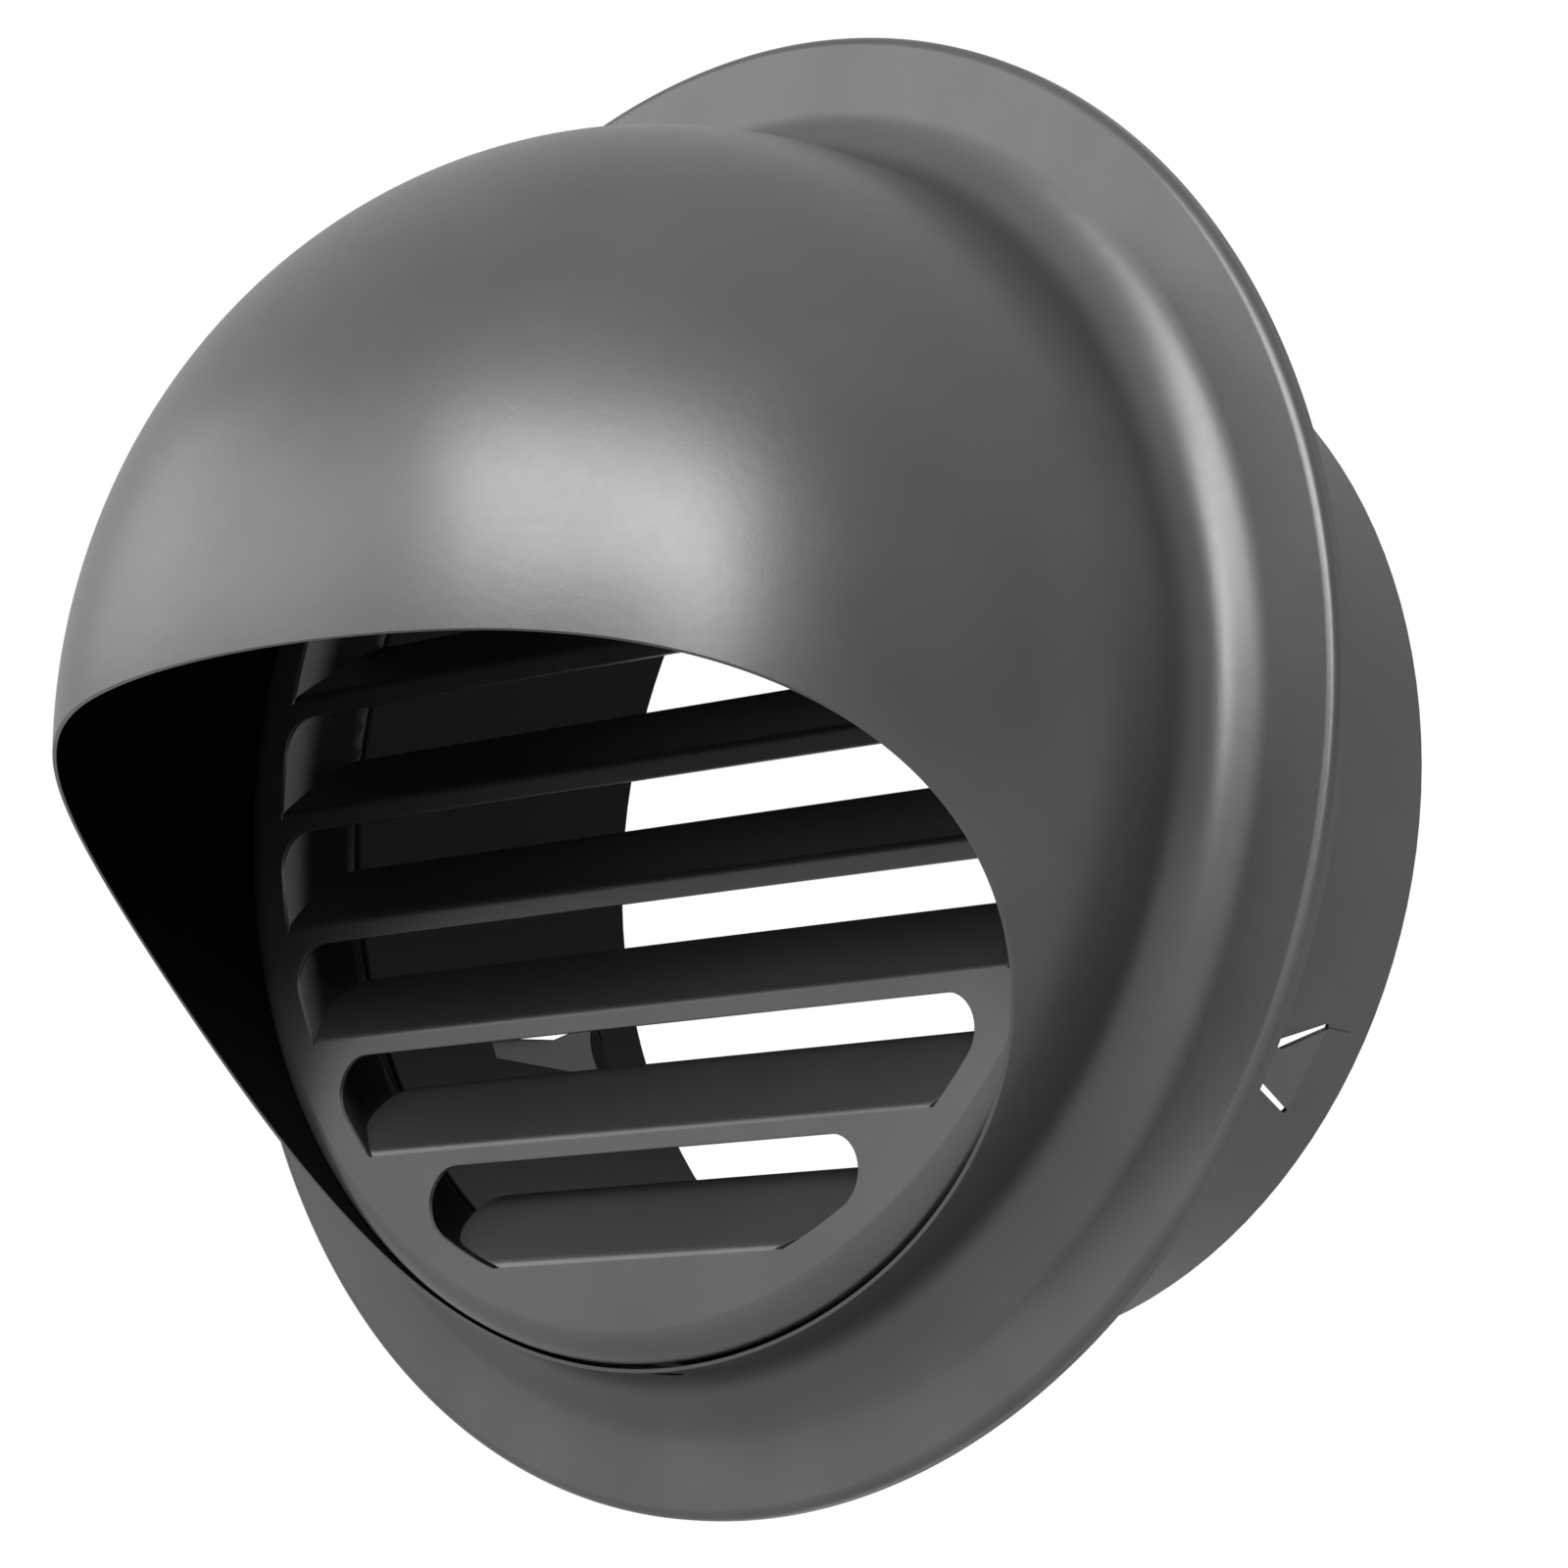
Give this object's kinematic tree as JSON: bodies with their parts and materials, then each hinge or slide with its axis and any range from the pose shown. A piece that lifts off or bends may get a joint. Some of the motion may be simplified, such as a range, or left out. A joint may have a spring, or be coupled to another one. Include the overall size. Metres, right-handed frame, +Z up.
{
  "type": "wall vent cap",
  "caption": "Round wall vent cap: a domed rain hood with a curved mouth over a louvred grille, and a duct collar with spring barbs behind its wall flange.",
  "frame": {"origin": "on the duct collar's axis, in the plane of the wall that the flange's rim meets", "axes": "+Y along the collar into the wall, +Z up, +X to the right seen from in front of the wall"},
  "size_m": [0.202, 0.143, 0.202],
  "materials": {
    "hood_paint": "satin dark grey paint on sheet steel",
    "grille_paint": "satin dark grey paint on sheet steel",
    "collar_paint": "satin dark grey paint on sheet steel"
  },
  "bodies": {
    "root": {"hood": "hood_paint", "louvre_grille": "grille_paint", "duct_collar": "collar_paint"}
  },
  "joints": []
}
